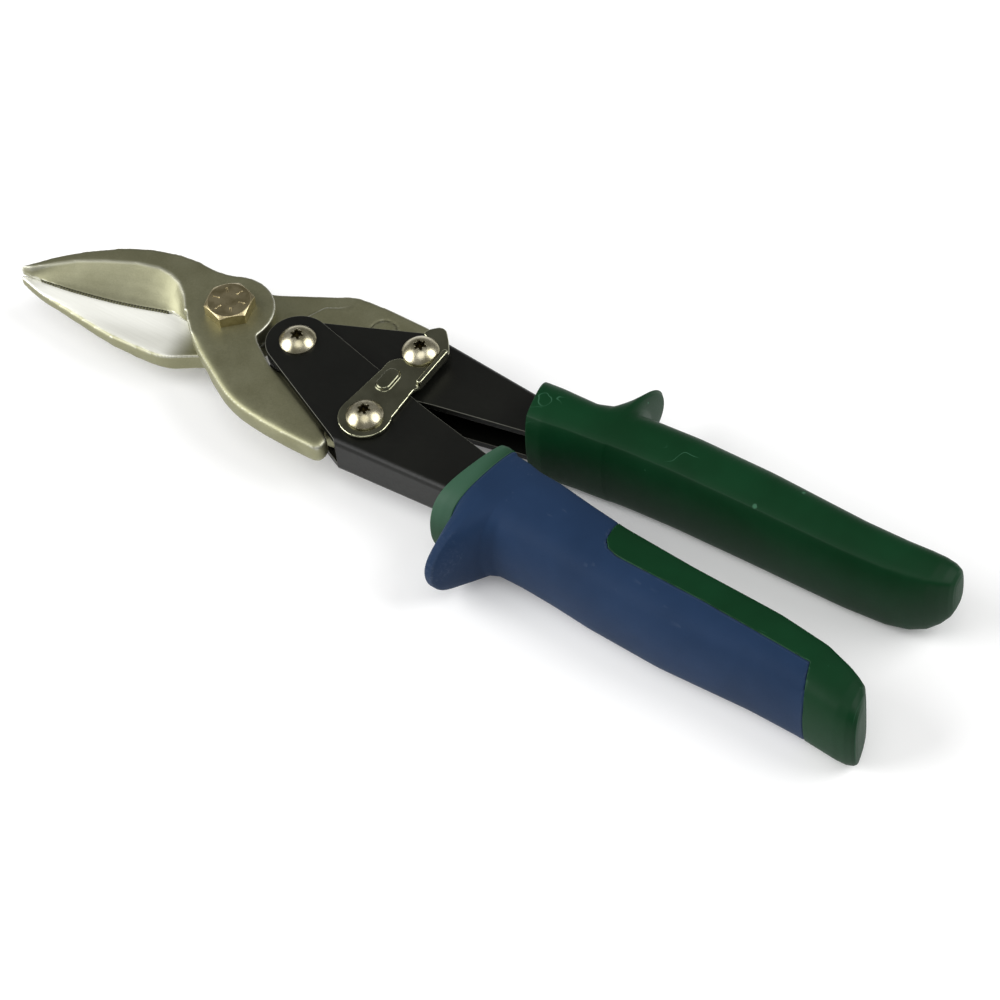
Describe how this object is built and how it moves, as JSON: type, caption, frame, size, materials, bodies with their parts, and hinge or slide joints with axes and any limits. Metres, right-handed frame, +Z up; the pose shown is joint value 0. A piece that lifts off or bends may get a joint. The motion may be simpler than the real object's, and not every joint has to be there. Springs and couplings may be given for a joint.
{
  "type": "aviation snips",
  "caption": "Compound-action sheet metal snips with forged jaws, pressed channel handles, moulded grips, a return spring and a latch.",
  "frame": {"origin": "on the main pivot's axis, at the lowest face of its nut and bolt, level with the undersides of both grips", "axes": "+X back along the tool towards the handle ends, +Y towards the far (green) handle, +Z up along the main pivot's axis"},
  "size_m": [0.2506, 0.0707, 0.024],
  "materials": {
    "forged_steel": "bead-blasted forged steel with ground bright edges",
    "black_steel": "satin black coated pressed steel",
    "nickel_bolt": "nickel-plated bolt",
    "bright_screw": "polished nickel plate",
    "zinc_steel": "zinc-plated steel",
    "latch_steel": "bright zinc-plated stamping",
    "spring_steel": "drawn spring wire",
    "nylon": "nylon locking ring",
    "green_plastic": "satin hard plastic, fine nicks",
    "blue_soft": "soft-touch rubber overmould"
  },
  "bodies": {
    "near_handle": {"near_handle_channel": "black_steel", "near_grip_core": "green_plastic", "near_grip_cover": "blue_soft", "handle_pivot_screw": "bright_screw", "handle_pivot_nut": "zinc_steel", "handle_pivot_sleeve": "zinc_steel", "near_jaw_screw": "bright_screw", "near_jaw_nut": "zinc_steel", "opening_spring": "spring_steel"},
    "far_handle": {"far_handle_channel": "black_steel", "far_grip": "green_plastic", "far_jaw_screw": "bright_screw", "far_jaw_nut": "zinc_steel", "latch_washer": "zinc_steel"},
    "upper_jaw_body": {"upper_jaw": "forged_steel", "pivot_bolt": "nickel_bolt", "pivot_nut": "zinc_steel", "pivot_nut_insert": "nylon", "pivot_washer": "zinc_steel"},
    "lower_jaw_body": {"lower_jaw": "forged_steel"},
    "latch_body": {"latch": "latch_steel"}
  },
  "joints": [
    {"name": "handle_hinge", "type": "hinge", "parent": "near_handle", "child": "far_handle", "pos_m": [0.0207, 0, 0], "axis": [0, 0, 1], "range_deg": [0, 36]},
    {"name": "upper_jaw_hinge", "type": "hinge", "parent": "near_handle", "child": "upper_jaw_body", "pos_m": [0.0494, -0.01165, 0], "axis": [0, 0, 1], "range_deg": [0, 8.1]},
    {"name": "main_pivot", "type": "hinge", "parent": "upper_jaw_body", "child": "lower_jaw_body", "pos_m": [0, 0, 0], "axis": [0, 0, 1], "range_deg": [0, 20]},
    {"name": "latch_hinge", "type": "hinge", "parent": "near_handle", "child": "latch_body", "pos_m": [0.0494, -0.01165, 0], "axis": [0, 0, 1], "range_deg": [-68.5, 0]}
  ],
  "couplings": [
    {"joint": "upper_jaw_hinge", "follows": "handle_hinge", "ratio": 0.223},
    {"joint": "main_pivot", "follows": "handle_hinge", "ratio": 0.554},
    {"joint": "latch_hinge", "follows": "handle_hinge", "ratio": -1.9}
  ]
}
